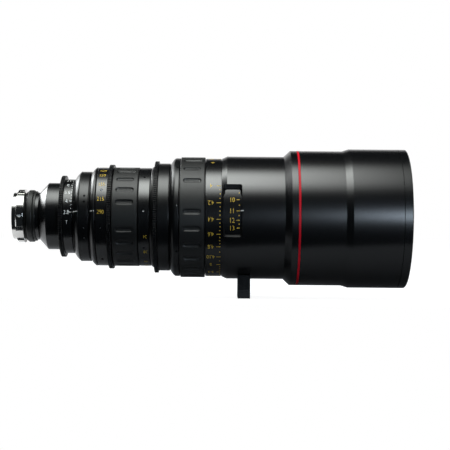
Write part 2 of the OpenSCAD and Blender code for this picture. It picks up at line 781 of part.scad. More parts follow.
// Zoom ring, from its scale to its end ring
module zoom_ring_body() color([0.07, 0.07, 0.07]) difference() {
    pipe(x_zoom, x_zoom_stop, zoom_seat_r, zoom_bore_r);
    at(zoom_key_angle) radial_pin(x_zoom_key, zoom_bore_r - over, zoom_seat_r + over, key_r + fit_gap);
}

module zoom_scale_ring() color([0.07, 0.07, 0.07]) difference() {
    band(x_zoom, x_zoom_gear, zoom_scale_r, zoom_seat_r + fit_gap);
    screw_holes((x_zoom + x_zoom_gear) / 2, zoom_scale_r, set_hole_r, zoom_hole_count, zoom_hole_angle);
}

module zoom_gear() color([0.12, 0.12, 0.12])
    gear_ring(x_zoom_gear, zoom_gear_w, zoom_teeth, zoom_seat_r + fit_gap);

module zoom_grip() color([0.16, 0.16, 0.16]) difference() {
    band(x_zoom_grip, x_zoom_grip + zoom_grip_w, zoom_grip_r, zoom_seat_r + fit_gap);
    grip_pockets(x_zoom_grip + zoom_grip_w / 2, zoom_grip_r, zoom_bare_angle);
}

module zoom_end_ring() color([0.07, 0.07, 0.07]) difference() {
    band(x_zoom_end, x_zoom_stop, zoom_end_r, zoom_seat_r + fit_gap);
    screw_holes((x_zoom_end + x_zoom_stop) / 2, zoom_end_r, end_hole_r, end_hole_count, end_hole_angle);
}

module zoom_key() color("gray") at(zoom_key_angle)
    radial_pin(x_zoom_key, cam_r - cam_wall / 2, zoom_seat_r, key_r);

// Cam tube: three steep slots for the variator and three shallow ones for the compensator
module zoom_cam_tube() color("tan") difference() {
    pipe(x_cam, x_cam_end, cam_r, cam_in_r);
    at(zoom_key_angle) radial_pin(x_zoom_key, cam_r - cam_wall / 2, cam_r + over, key_r + fit_gap);
    for (i = [0:rod_count - 1]) {
        start = follower_angle + i * 360 / rod_count;
        climbing_slot(x_compensator, compensator_travel, start, zoom_turn,
                      2 * (follower_r + slot_gap), cam_in_r - over, cam_r + over);
        climbing_slot(x_variator, variator_travel, start, zoom_turn,
                      2 * (follower_r + slot_gap), cam_in_r - over, cam_r + over);
    }
}

module sliding_cell(x, length) color([0.12, 0.12, 0.12]) difference() {
    lathe([[cell_bore_r, x - length / 2], [cell_r, x - length / 2], [cell_r, x + length / 2],
           [cell_bore_r, x + length / 2], [cell_bore_r, x + cell_lip_w],
           [cell_bore_r - cell_lip, x + cell_lip_w], [cell_bore_r - cell_lip, x - cell_lip_w],
           [cell_bore_r, x - cell_lip_w]]);
    rod_holes(run_gap);
    round_copies(rod_count, follower_angle)
        radial_pin(x, rod_ring_r + rod_r, cell_r + over, follower_r + fit_gap);
}

module cam_followers(x) color("silver") round_copies(rod_count, follower_angle)
    radial_pin(x, rod_ring_r + rod_r, cam_r - fit_gap, follower_r);

module compensator_cell() sliding_cell(x_compensator, compensator_len);
module compensator_followers() cam_followers(x_compensator);
module compensator_elements() color([0.4, 0.5, 0.6]) {
    glass_r = cell_bore_r - fit_gap;
    reach = compensator_len / 2 - glass_inset;
    x_hollow = x_compensator - reach + sag(compensator_back_r, glass_r);
    lens(x_hollow, x_compensator - cell_lip_w, glass_r, compensator_back_r, 0);
    lens(x_compensator + cell_lip_w, x_compensator + reach, glass_r, 0, compensator_front_r);
}

module variator_cell() sliding_cell(x_variator, variator_len);
module variator_followers() cam_followers(x_variator);
module variator_elements() color([0.4, 0.5, 0.6]) {
    glass_r = cell_bore_r - fit_gap;
    x_back = x_variator - variator_len / 2 + variator_back_dish;
    x_front = x_variator + variator_len / 2 - variator_front_dish;
    lens(x_back, x_variator - cell_lip_w, glass_r, variator_back_r, 0);
    lens(x_variator + cell_lip_w, x_front, glass_r, 0, -variator_front_r);
}

// Fixed sleeve that the focus ring turns on
module focus_sleeve() color([0.07, 0.07, 0.07]) difference() {
    flange_end = x_focus_sleeve + sleeve_flange_w;
    slope_w = (sleeve_in_r - cam_bore_r) / 2;
    lathe([[cam_bore_r, x_focus_sleeve], [sleeve_rear_r, x_focus_sleeve],
           [sleeve_flange_r, flange_end - chamfer], [sleeve_flange_r, flange_end],
           [sleeve_r, flange_end], [sleeve_r, x_sleeve_end],
           [sleeve_in_r, x_sleeve_end], [sleeve_in_r, x_front_plate], [cam_bore_r, x_front_plate],
           [cam_bore_r, x_front_plate - cam_land_w],
           [sleeve_in_r - sleeve_step, x_front_plate - cam_land_w - slope_w],
           [sleeve_in_r - sleeve_step, flange_end + slope_w], [cam_bore_r, flange_end]]);
    round_copies(rod_count, follower_angle) hull() for (x = [-focus_back, focus_fore])
        radial_pin(x_focus_pin + x, sleeve_in_r - over, sleeve_r + over, focus_pin_r + slot_gap);
}

// Focus ring: a long body with the gear, grip and scale seated on it
module focus_ring_body() color([0.07, 0.07, 0.07]) difference() {
    rise_end = x_focus_rise + focus_rise_w;
    foot_r = focus_band_r - focus_foot_step;
    lathe(concat(
        [[sleeve_r + run_gap, x_focus_gear], [focus_root_r, x_focus_gear], [focus_root_r, x_focus_band],
         [focus_band_r - chamfer, x_focus_band], [focus_band_r, x_focus_band + chamfer],
         [focus_band_r, x_focus_cone]],
        [for (i = [0:rise_steps]) let (share = i / rise_steps)
            [foot_r + (focus_rise_r - foot_r) * sin(90 * share),
             x_focus_cone + chamfer + (focus_cone_w - chamfer) * share]],
        [[focus_rise_r, rise_end - chamfer], [focus_rise_r - chamfer, rise_end], [focus_seat_r, rise_end],
         [focus_seat_r, x_focus_end - drum_face_w], [focus_hub_r, x_focus_end - drum_face_w],
         [focus_hub_r, x_focus_end + focus_hub_len],
         [sleeve_r + run_gap, x_focus_end + focus_hub_len]]));
    for (i = [0:rod_count - 1]) climbing_slot(x_focus_pin - focus_back, focus_back + focus_fore,
        follower_angle + i * 360 / rod_count - focus_up, focus_up + focus_down,
        2 * (focus_pin_r + slot_gap), sleeve_r - over, focus_pin_top_r + slot_gap);
}

module focus_gear() color([0.12, 0.12, 0.12])
    gear_ring(x_focus_gear, focus_gear_w, focus_teeth, focus_root_r + fit_gap);

module focus_grip() color([0.16, 0.16, 0.16]) difference() {
    band(x_focus_grip, x_focus_grip + focus_grip_w, focus_grip_r, focus_seat_r + fit_gap);
    grip_pockets(x_focus_grip + focus_grip_w / 2, focus_grip_r, focus_bare_angle);
}

// The distance scale runs on under the barrel as a drum, seen through the window
module focus_scale_ring() color([0.07, 0.07, 0.07])
    lathe([[focus_seat_r + fit_gap, x_focus_scale], [focus_scale_r - chamfer, x_focus_scale],
           [focus_scale_r, x_focus_scale + chamfer], [focus_scale_r, x_focus_end],
           [drum_r, x_focus_end], [drum_r, x_drum_end], [drum_r - drum_wall, x_drum_end],
           [drum_r - drum_wall, x_focus_end - drum_face_w],
           [focus_seat_r + fit_gap, x_focus_end - drum_face_w]]);

module focus_cell() color([0.12, 0.12, 0.12]) difference() {
    end = x_focus_cell + focus_cell_len;
    middle = x_focus_cell + focus_cell_len / 2;
    lip_r = focus_cell_bore_r - cell_lip;
    lathe([[focus_cell_bore_r, x_focus_cell], [focus_cell_r, x_focus_cell], [focus_cell_r, end],
           [focus_cell_bore_r, end], [focus_cell_bore_r, middle + cell_lip_w], [lip_r, middle + cell_lip_w],
           [lip_r, middle - cell_lip_w], [focus_cell_bore_r, middle - cell_lip_w]]);
    round_copies(rod_count, follower_angle)
        radial_pin(x_focus_pin, focus_pin_foot_r, focus_cell_r + over, focus_pin_r + fit_gap);
}

module focus_followers() color("silver") round_copies(rod_count, follower_angle)
    radial_pin(x_focus_pin, focus_pin_foot_r, focus_pin_top_r, focus_pin_r);

module focus_elements() color([0.4, 0.5, 0.6]) {
    middle = x_focus_cell + focus_cell_len / 2;
    glass_r = focus_cell_bore_r - fit_gap;
    reach = focus_cell_len / 2 - glass_inset;
    x_hollow = middle - reach + sag(focus_back_curve_r, glass_r);
    lens(x_hollow, middle - cell_lip_w, glass_r, focus_back_curve_r, 0);
    lens(middle + cell_lip_w, middle + reach, glass_r, 0, focus_front_curve_r);
}

// Main barrel with its window, and the foot below it
module main_barrel() color([0.07, 0.07, 0.07]) difference() {
    lathe([[barrel_in_r, x_barrel], [focus_scale_r, x_barrel], [barrel_r, x_barrel + barrel_ramp_w],
           [barrel_r, x_barrel_end], [barrel_in_r, x_barrel_end], [barrel_in_r, x_web + web_w],
           [sleeve_r + fit_gap, x_web + web_w], [sleeve_r + fit_gap, x_web], [barrel_in_r, x_web]]);
    window_d = barrel_r + over - focus_seat_r * cos(asin(window_h / 2 / barrel_r));
    at(window_angle) translate([x_barrel + window_set + window_len / 2, -barrel_r - over, 0])
        rotate([-90, 0, 0]) linear_extrude(window_d) rounded_window();
    foot_screw_places() translate([0, 0, -barrel_r - over])
        cylinder(h = barrel_wall + 2 * over, r = foot_screw_r + fit_gap, $fn = small);
}

module rounded_window() {
    square([window_len, window_h - 2 * window_corner_r], center = true);
    square([window_len - 2 * window_corner_r, window_h], center = true);
    for (sx = [-1, 1], sy = [-1, 1])
        translate([sx * (window_len / 2 - window_corner_r), sy * (window_h / 2 - window_corner_r)])
            circle(window_corner_r, $fn = small);
}

module foot_screw_places() for (side = [-1, 1])
    translate([x_barrel + foot_set + foot_t / 2, side * foot_screw_gap / 2, 0]) children();

module support_foot() color([0.07, 0.07, 0.07]) difference() {
    x_middle = x_barrel + foot_set + foot_t / 2;
    plate(x_barrel + foot_set, foot_t)
        polygon([[-foot_w / 2, -foot_h], [foot_w / 2, -foot_h], [foot_w / 2, -foot_h + foot_lip_h],
                 [foot_top_w / 2, -foot_top_h], [-foot_top_w / 2, -foot_top_h],
                 [-foot_w / 2, -foot_h + foot_lip_h]]);
    pipe(x_barrel, x_barrel_end, barrel_r + fit_gap, barrel_in_r - barrel_wall);
    rod_x(x_barrel, x_barrel_end, barrel_in_r);
    translate([x_middle, 0, -foot_h - over]) cylinder(h = foot_hole_d + over, r = foot_hole_r, $fn = small);
    for (side = [-1, 1], place = [-1, 1])
        translate([x_middle + place * foot_pin_gap / 2, side * foot_w / 2, -foot_pin_drop])
            rotate([90, 0, 0]) cylinder(h = 2 * foot_pin_d, r = foot_pin_r, center = true, $fn = small);
    foot_screw_places() translate([0, 0, -foot_h - over]) {
        cylinder(h = foot_head_len + foot_screw_set + over, r = foot_head_r + fit_gap, $fn = small);
        cylinder(h = foot_h, r = foot_screw_r + fit_gap, $fn = small);
    }
}

module foot_screws() color("gray") foot_screw_places() difference() {
    translate([0, 0, -foot_h + foot_screw_set]) {
        cylinder(h = foot_head_len, r = foot_head_r, $fn = small);
        cylinder(h = foot_h - barrel_in_r - 2 * foot_screw_set - chamfer, r = foot_screw_r, $fn = small);
    }
    translate([0, 0, -foot_h]) cylinder(h = foot_head_len / 2 + foot_screw_set, r = foot_screw_r, $fn = 6);
}

// Front housing with its flare, accent ring and spigot
module front_housing() color([0.07, 0.07, 0.07]) difference() {
    lathe([[barrel_in_r - fit_gap - spigot_wall, x_barrel_end - spigot_len],
           [barrel_in_r - fit_gap, x_barrel_end - spigot_len], [barrel_in_r - fit_gap, x_barrel_end],
           [barrel_r, x_barrel_end], [front_r, x_front], [front_r, x_shade], [front_in_r, x_shade],
           [front_in_r, x_front + flare_w], [barrel_in_r - fit_gap - spigot_wall, x_barrel_end]]);
    pipe(x_accent - accent_gap, x_accent + accent_w + accent_gap, front_r + over, front_r - accent_d);
}

module accent_ring() color([0.85, 0.03, 0.08])
    pipe(x_accent, x_accent + accent_w, front_r + fit_gap, front_r - accent_d + fit_gap);

module front_cell() color([0.1, 0.1, 0.1])
    lathe([[front_glass_r + fit_gap, x_glass], [front_cell_r, x_glass], [front_cell_r, x_front_cell],
           [front_glass_r - cell_lip, x_front_cell],
           [front_glass_r - cell_lip, x_front_cell + 2 * cell_lip_w],
           [front_glass_r + fit_gap, x_front_cell + 2 * cell_lip_w]]);

module front_elements() color([0.35, 0.4, 0.5]) {
    x_second = x_glass - front_lens_t - glass_gap;
    x_third = x_second - second_lens_t - lens_space;
    lens(x_glass - front_lens_t, x_glass, front_glass_r, second_curve_r, front_curve_r);
    lens(x_second - second_lens_t, x_second, front_glass_r, -third_curve_r, second_curve_r);
    lens(x_third - third_lens_t, x_third, front_glass_r, -rear_curve_r, fourth_curve_r);
}

// Rests on the rim of the front glass
module front_retaining_ring() color([0.1, 0.1, 0.1]) {
    lip_r = front_glass_r - retainer_lip;
    x_glass_rim = x_glass - sag(front_curve_r, lip_r) + glass_gap;
    lathe([[front_glass_r, x_glass_rim], [front_glass_r, x_glass - chamfer],
           [front_glass_r - retainer_lip / 2, x_glass - chamfer], [lip_r, x_glass_rim]]);
}

// Shade with stepped baffles inside, and the rim at its mouth
module sun_shade() color([0.06, 0.06, 0.06]) {
    steps = 5;
    foot_r = front_cell_r + fit_gap;
    rise = rim_mouth_r - mouth_step - foot_r;
    depth = x_rim - x_glass;
    lathe(concat(
        [[foot_r, x_shade], [front_r, x_shade], [shade_r, x_shade_tube], [shade_r, x_rim]],
        [for (i = [steps:-1:1]) each
            [[foot_r + rise * i / steps, x_glass + depth * i / steps],
             [foot_r + rise * i / steps, x_glass + depth * (i - 1) / steps]]]));
}

module front_rim() color([0.06, 0.06, 0.06])
    lathe([[rim_mouth_r, x_rim], [shade_r, x_rim], [shade_r, x_rim_end - 2 * chamfer],
           [shade_r - 2 * chamfer, x_rim_end], [rim_mouth_r + chamfer, x_rim_end],
           [rim_mouth_r, x_rim_end - chamfer]]);

mount_flange();
mount_screws();
mount_collar();
rear_housing();
rear_cell();
rear_elements();
rear_retaining_ring();
iris_gear();
stop_scale_ring();
iris_base_plate();
iris_rotor();
iris_key();
for (i = [1:blade_count]) iris_blade(i - 1);
relay_cell();
relay_elements();
centre_housing();
guide_rods();
rod_plates();
zoom_ring_body();
zoom_scale_ring();
zoom_gear();
zoom_grip();
zoom_end_ring();
zoom_cam_tube();
zoom_key();
compensator_cell();
compensator_elements();
compensator_followers();
variator_cell();
variator_elements();
variator_followers();
focus_sleeve();
focus_ring_body();
focus_gear();
focus_grip();
focus_scale_ring();
focus_cell();
focus_elements();
focus_followers();
main_barrel();
support_foot();
foot_screws();
front_housing();
accent_ring();
front_cell();
front_elements();
front_retaining_ring();
sun_shade();
front_rim();
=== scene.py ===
import math

import bmesh
import bpy
from mathutils import Matrix, Vector


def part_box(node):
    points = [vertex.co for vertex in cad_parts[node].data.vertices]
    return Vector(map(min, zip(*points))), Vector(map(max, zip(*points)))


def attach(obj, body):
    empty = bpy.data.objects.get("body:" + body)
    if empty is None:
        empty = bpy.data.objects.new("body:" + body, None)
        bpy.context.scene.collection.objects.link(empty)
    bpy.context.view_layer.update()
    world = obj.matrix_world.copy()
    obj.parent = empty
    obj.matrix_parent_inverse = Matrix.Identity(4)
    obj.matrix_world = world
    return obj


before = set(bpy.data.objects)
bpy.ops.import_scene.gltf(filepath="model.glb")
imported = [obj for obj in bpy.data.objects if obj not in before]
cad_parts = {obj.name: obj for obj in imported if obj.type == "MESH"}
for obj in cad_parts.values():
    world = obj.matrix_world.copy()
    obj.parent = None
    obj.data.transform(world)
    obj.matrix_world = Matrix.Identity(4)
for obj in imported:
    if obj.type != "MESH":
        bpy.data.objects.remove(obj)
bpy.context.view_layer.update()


# Studio. The lens stands on its foot on a sweep of white paper, in a room that is dark on the
# camera's side. A long soft box hangs overhead, a second one hangs up on the left, a third stands
# on the left behind the lens, and a small cool one with a narrow beam stands right of the camera.
def new_material(name):
    material = bpy.data.materials.new(name)
    material.use_nodes = True
    material.node_tree.nodes.clear()
    return material


def node(tree, kind, inputs=None, **settings):
    made = tree.nodes.new(kind)
    for key, value in settings.items():
        setattr(made, key, value)
    for key, value in (inputs or {}).items():
        if isinstance(value, bpy.types.NodeSocket):
            tree.links.new(value, made.inputs[key])
        else:
            made.inputs[key].default_value = value
    return made


def combine(tree, operation, first, second):
    return node(tree, "ShaderNodeMath", {0: first, 1: second}, operation=operation).outputs[0]


def ramp(tree, value, low, high, low_out=0.0, high_out=1.0):
    return node(tree, "ShaderNodeMapRange", {"Value": value, "From Min": low, "From Max": high,
                                             "To Min": low_out, "To Max": high_out}).outputs["Result"]


camera_roll = 0.47
camera_data = bpy.data.cameras.new("camera")
camera_data.sensor_width = 36.0
camera_data.lens = 102.9
camera = bpy.data.objects.new("camera", camera_data)
camera.location = (0.2402, -1.4997, -0.0087)
level_view = Matrix.Rotation(math.radians(90), 4, "X")
camera.rotation_euler = (level_view @ Matrix.Rotation(math.radians(camera_roll), 4, "Z")).to_euler()
bpy.context.collection.objects.link(camera)
bpy.context.scene.camera = camera
bpy.context.scene.view_settings.view_transform = "Standard"


# A soft box fades to its sides over the given shares of its width and height
def soft_box(name, place, aim, width, height, fades, power, colour):
    data = bpy.data.lights.new(name, "AREA")
    data.shape = "RECTANGLE"
    data.size, data.size_y = width, height
    data.energy = power
    data.color = colour
    data.use_nodes = True
    tree = data.node_tree
    tree.nodes.clear()
    on_cloth = node(tree, "ShaderNodeNewGeometry").outputs["Parametric"]
    cloth = node(tree, "ShaderNodeSeparateXYZ", {0: on_cloth})
    falls = []
    for side, fade in zip(("X", "Y"), fades):
        inset = combine(tree, "PINGPONG", cloth.outputs[side], 0.5)
        falls.append(node(tree, "ShaderNodeMapRange", {"Value": inset, "From Max": fade},
                          interpolation_type="SMOOTHSTEP").outputs["Result"])
    glow = combine(tree, "MULTIPLY", falls[0], falls[1])
    lit = node(tree, "ShaderNodeEmission", {"Strength": glow})
    node(tree, "ShaderNodeOutputLight", {0: lit.outputs[0]})
    box = bpy.data.objects.new(name, data)
    box.location = place
    box.rotation_euler = (Vector(aim) - Vector(place)).to_track_quat("-Z", "Y").to_euler()
    box.visible_camera = False
    bpy.context.collection.objects.link(box)
    return data


green_white, pale_white, cool_white = (0.96, 1.0, 0.97), (0.97, 1.0, 1.0), (0.72, 0.86, 1.0)
soft_box("overhead_box", place=(0.12, -0.39, 1.15), aim=(0.12, 0.0, 0.0), width=1.2, height=1.5,
         fades=(0.5, 0.42), power=48.0, colour=green_white)
soft_box("upper_left_box", place=(-0.50, 0.20, 1.10), aim=(0.2, 0.0, 0.0), width=0.8, height=1.0,
         fades=(0.5, 0.5), power=20.0, colour=green_white)
soft_box("left_box", place=(-0.70, 0.55, 0.40), aim=(0.06, 0.0, 0.0), width=0.8, height=0.8,
         fades=(0.3, 0.4), power=24.0, colour=pale_white)
side_box = soft_box("side_box", place=(0.95, -1.5, 0.12), aim=(0.45, 0.0, 0.0), width=0.9, height=0.7,
                    fades=(0.5, 0.5), power=4.6, colour=cool_white)
side_box.spread = math.radians(60)

# The sweep's front edge runs just in front of the foot, closer to the lens at the mount than at
# the shade
foot_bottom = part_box("support_foot")[0][2]
sweep_half, sweep_turn, sweep_drop = 3.0, -12, 0.0002
sweep_front = (0.24, -0.1, 0.0)
sweep_mesh = bmesh.new()
bmesh.ops.create_grid(sweep_mesh, x_segments=1, y_segments=1, size=sweep_half)
bmesh.ops.translate(sweep_mesh, verts=sweep_mesh.verts,
                    vec=(sweep_front[0], sweep_front[1] + sweep_half, foot_bottom - sweep_drop))
bmesh.ops.rotate(sweep_mesh, verts=sweep_mesh.verts, cent=sweep_front,
                 matrix=Matrix.Rotation(math.radians(sweep_turn), 3, "Z"))
sweep_data = bpy.data.meshes.new("floor")
sweep_mesh.to_mesh(sweep_data)
sweep_mesh.free()
sweep = bpy.data.objects.new("floor", sweep_data)
bpy.context.collection.objects.link(sweep)

# The camera sees the paper as white, with a trace of shadow painted darker under the foot. The lens
# sees it as a painted reflection, white mostly near the mount and dim along the rings, and is lit by it as by
# grey paper.
paper = new_material("white_sweep")
tree = paper.node_tree
path = node(tree, "ShaderNodeLightPath")
mirrored = combine(tree, "MAXIMUM", path.outputs["Is Glossy Ray"], path.outputs["Is Transmission Ray"])
place = node(tree, "ShaderNodeTexCoord").outputs["Object"]
away = node(tree, "ShaderNodeVectorMath", {0: place, 1: (sweep_front[0], 0.0, foot_bottom)},
            operation="DISTANCE").outputs["Value"]
# The paper's level for the camera holds a painted shadow round the foot
paper_level_with_painted_shadow = ramp(tree, away, low=0.08, high=0.24, low_out=0.95, high_out=1.0)
along = node(tree, "ShaderNodeSeparateXYZ", {0: place}).outputs["X"]
# The glow that the lens mirrors is a painted reflection, strong under the mount and faint under the rings
under_mount = ramp(tree, along, low=-0.02, high=0.04, low_out=0.7, high_out=0.0)
under_rings = ramp(tree, along, low=0.0, high=0.14, low_out=0.22, high_out=0.02)
seen = combine(tree, "MULTIPLY", path.outputs["Is Camera Ray"], paper_level_with_painted_shadow)
reflected = combine(tree, "MULTIPLY", mirrored, combine(tree, "MAXIMUM", under_mount, under_rings))
shown = combine(tree, "ADD", seen, reflected)
matte = node(tree, "ShaderNodeBsdfDiffuse", {"Color": (0.215, 0.225, 0.245, 1.0)})
glow = node(tree, "ShaderNodeEmission", {"Color": (1.0, 1.0, 1.0, 1.0), "Strength": shown})
both = node(tree, "ShaderNodeAddShader", {0: matte.outputs[0], 1: glow.outputs[0]})
node(tree, "ShaderNodeOutputMaterial", {"Surface": both.outputs[0]})
sweep.data.materials.append(paper)

# The camera sees a white room. The lens sees white only low down behind itself, and dim elsewhere.
world = bpy.data.worlds.new("studio")
bpy.context.scene.world = world
world.use_nodes = True
tree = world.node_tree
tree.nodes.clear()
path = node(tree, "ShaderNodeLightPath")
axes = node(tree, "ShaderNodeSeparateXYZ", {0: node(tree, "ShaderNodeTexCoord").outputs["Generated"]})
behind = ramp(tree, axes.outputs["Y"], low=0.38, high=0.56)
low_down = ramp(tree, axes.outputs["Z"], low=0.3, high=0.5, low_out=1.0, high_out=0.0)
mirrored = combine(tree, "MAXIMUM", path.outputs["Is Glossy Ray"], path.outputs["Is Transmission Ray"])
mirrored = combine(tree, "MULTIPLY", mirrored, combine(tree, "MULTIPLY", behind, low_down))
shown = combine(tree, "MAXIMUM", path.outputs["Is Camera Ray"], mirrored)
white = node(tree, "ShaderNodeBackground", {"Color": (1.0, 1.0, 1.0, 1.0), "Strength": 1.0})
dim = node(tree, "ShaderNodeBackground", {"Color": (0.75, 0.87, 1.0, 1.0), "Strength": 0.014})
mixed = node(tree, "ShaderNodeMixShader", {0: shown, 1: dim.outputs[0], 2: white.outputs[0]})
node(tree, "ShaderNodeOutputWorld", {"Surface": mixed.outputs[0]})


# Camera mount. A brass flange with four lugs, turned, milled and chromed, held by six steel screws,
# with a flat white oval laid in the notch of the near lug. Turning marks run round the axis, so their bump
# reads the place along it, and edges are rounded a little where hands and tools have rubbed them.
def turned_finish(name, colour, rough, level=0.5, metal=0.0, grain=0.5, marks=0.35, spread=0.12,
                  edge=0.00025, speck=1900.0):
    bump_depth = 0.00003
    material = new_material(name)
    tree = material.node_tree
    place = node(tree, "ShaderNodeTexCoord").outputs["Object"]
    cloud = node(tree, "ShaderNodeTexNoise", {"Vector": place, "Scale": 38.0, "Detail": 5.0,
                                              "Roughness": 0.6})
    speckle = node(tree, "ShaderNodeTexNoise", {"Vector": place, "Scale": speck, "Detail": 2.0})
    along = node(tree, "ShaderNodeMapping", {"Vector": place, "Scale": (1.0, 0.012, 0.012)})
    lines = node(tree, "ShaderNodeTexNoise", {"Vector": along.outputs[0], "Scale": 2600.0, "Detail": 3.0,
                                              "Roughness": 0.7})
    darker = tuple(c * (1.0 - spread) for c in colour) + (1.0,)
    lighter = tuple(min(1.0, c * (1.0 + spread)) for c in colour) + (1.0,)
    tone = node(tree, "ShaderNodeMix", {"Factor": cloud.outputs["Fac"], "A": darker, "B": lighter},
                data_type="RGBA")
    gloss = ramp(tree, speckle.outputs["Fac"], 0.25, 0.75, rough * 0.9, rough * 1.12)
    rounded = node(tree, "ShaderNodeBevel", {"Radius": edge}, samples=4)
    fine_bump = node(tree, "ShaderNodeBump", {"Strength": grain, "Distance": bump_depth,
                                              "Height": speckle.outputs["Fac"], "Normal": rounded.outputs[0]})
    line_bump = node(tree, "ShaderNodeBump", {"Strength": marks, "Distance": bump_depth,
                                              "Height": lines.outputs["Fac"], "Normal": fine_bump.outputs[0]})
    shader = node(tree, "ShaderNodeBsdfPrincipled", {
        "Base Color": tone.outputs["Result"], "Roughness": gloss, "Metallic": metal,
        "Specular IOR Level": level, "Normal": line_bump.outputs[0]})
    node(tree, "ShaderNodeOutputMaterial", {"Surface": shader.outputs[0]})
    return material


def dress(material, *names):
    for name in names:
        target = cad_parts[name]
        if not target.material_slots:
            target.data.materials.append(material)
        for slot in target.material_slots:
            slot.material = material


def finish_piece(name, mesh, material, body):
    smooth_angle = 30
    bmesh.ops.remove_doubles(mesh, verts=mesh.verts, dist=1e-7)
    bmesh.ops.recalc_face_normals(mesh, faces=mesh.faces)
    data = bpy.data.meshes.new(name)
    mesh.to_mesh(data)
    mesh.free()
    for face in data.polygons:
        face.use_smooth = True
    data.set_sharp_from_angle(angle=math.radians(smooth_angle))
    piece = bpy.data.objects.new(name, data)
    data.materials.append(material)
    bpy.context.collection.objects.link(piece)
    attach(piece, body)


def add_to(whole, part):
    carrier = bpy.data.meshes.new("carrier")
    part.to_mesh(carrier)
    part.free()
    whole.from_mesh(carrier)
    bpy.data.meshes.remove(carrier)


# Wraps a flat piece on a ring: its x runs along the axis, its y round the ring, its z outwards.
# Angles start on the near side and grow upwards. A slope follows a cone.
def wrap(flat, marks, radius, x, angle, upside_down=False, slope=0.0):
    side = -1.0 if upside_down else 1.0
    cut_every = 0.0012
    cuts = int(max(abs(vertex.co.y) for vertex in flat.verts) / cut_every)
    for i in range(-cuts, cuts + 1):
        bmesh.ops.bisect_plane(flat, geom=flat.verts[:] + flat.edges[:] + flat.faces[:],
                               plane_co=(0, i * cut_every, 0), plane_no=(0, 1, 0))
    for vertex in flat.verts:
        turn = math.radians(angle) + side * vertex.co.y / radius
        reach = radius + vertex.co.z + slope * vertex.co.x
        vertex.co = (x + side * vertex.co.x, -reach * math.cos(turn), reach * math.sin(turn))
    add_to(marks, flat)


paint_d = 0.00005


def flat_bar(length, width):
    flat = bmesh.new()
    bmesh.ops.create_cube(flat, size=1.0)
    bmesh.ops.scale(flat, verts=flat.verts, vec=(length, width, 2 * paint_d))
    rims = [edge for edge in flat.edges if abs(edge.verts[0].co.z - edge.verts[1].co.z) > paint_d]
    bmesh.ops.bevel(flat, geom=rims, offset=min(length, width) * 0.35, segments=3, affect="EDGES")
    return flat


chrome = turned_finish("satin_chrome", (0.66, 0.65, 0.63), rough=0.14, metal=1.0, grain=0.12, marks=0.3,
                       spread=0.06)
screw_steel = turned_finish("screw_steel", (0.42, 0.42, 0.43), rough=0.3, metal=1.0, grain=0.3, marks=0.1,
                            edge=0.0001)
white_paint = turned_finish("white_paint", (0.86, 0.87, 0.86), rough=0.5, grain=0.8, marks=0.0, spread=0.08,
                            edge=0.00002)
dress(chrome, "mount_flange")
dress(screw_steel, "mount_screws")
lug_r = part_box("mount_flange")[1][2]
notch_d, notch_x, oval_lift = 0.0012, 0.0047, 0.0001
# A flat white oval lies in the notch of the near lug
notch_white_oval = bmesh.new()
wrap(flat_bar(length=0.0054, width=0.0028), notch_white_oval, lug_r - notch_d + oval_lift, notch_x, 0.0)
finish_piece("notch_white_oval", notch_white_oval, white_paint, "barrel")

# Collar. Three smooth ridges turned in one piece of aluminium, with a matte coat that grips in the
# hand, pressed on to the neck of the rear shell.
matte_coat = turned_finish("matte_coat", (0.006, 0.0063, 0.0055), rough=0.45, level=0.5, grain=0.8, marks=0.3)
dress(matte_coat, "mount_collar")

# Rear shell. Aluminium, turned in one piece with its neck, shoulder, cone and ring, and anodised
# black to a satin finish, as the other fixed shells and the scale rings are.
satin_black = turned_finish("satin_black_anodising", (0.0022, 0.0024, 0.0028), rough=0.24, level=0.8,
                            grain=0.2, marks=0.15)
dress(satin_black, "rear_housing")

# Lens cells, their retaining rings and the plates between them. Turned in aluminium and blackened,
# so that they throw back no light, and slid or screwed into the shells.
inner_black = turned_finish("matte_inner_black", (0.006, 0.006, 0.0065), rough=0.55, level=0.3, grain=0.5,
                            marks=0.5)
dress(inner_black, "rear_cell", "rear_retaining_ring", "relay_cell", "rod_plates", "compensator_cell",
      "variator_cell", "focus_cell", "front_cell", "front_retaining_ring")

# Glass. Ground and polished elements with a purple anti-reflection coating, each group seated in
# its cell.
coated = new_material("coated_glass")
tree = coated.node_tree
shader = node(tree, "ShaderNodeBsdfPrincipled", {
    "Base Color": (0.96, 0.97, 1.0, 1.0), "Roughness": 0.01, "IOR": 1.5, "Transmission Weight": 1.0,
    "Specular Tint": (0.45, 0.35, 0.9, 1.0)})
node(tree, "ShaderNodeOutputMaterial", {"Surface": shader.outputs[0]})
dress(coated, "rear_elements", "relay_elements", "compensator_elements", "variator_elements",
      "focus_elements", "front_elements")

# Iris. Blackened steel blades and rotor on a blackened plate, driven by the iris ring, which has
# its stops engraved and filled with white paint, and by its gear, cut in aluminium and anodised.
blade_black = turned_finish("blackened_steel", (0.03, 0.03, 0.033), rough=0.35, metal=0.6, grain=0.2,
                            marks=0.1)
gear_black = turned_finish("gear_black", (0.005, 0.0052, 0.0055), rough=0.36, level=0.5, grain=0.6,
                           marks=0.15)
dress(inner_black, "iris_base_plate")
dress(blade_black, "iris_rotor", *[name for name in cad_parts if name.startswith("iris_blade")])
dress(screw_steel, "iris_key")
dress(gear_black, "iris_gear")
dress(satin_black, "stop_scale_ring")


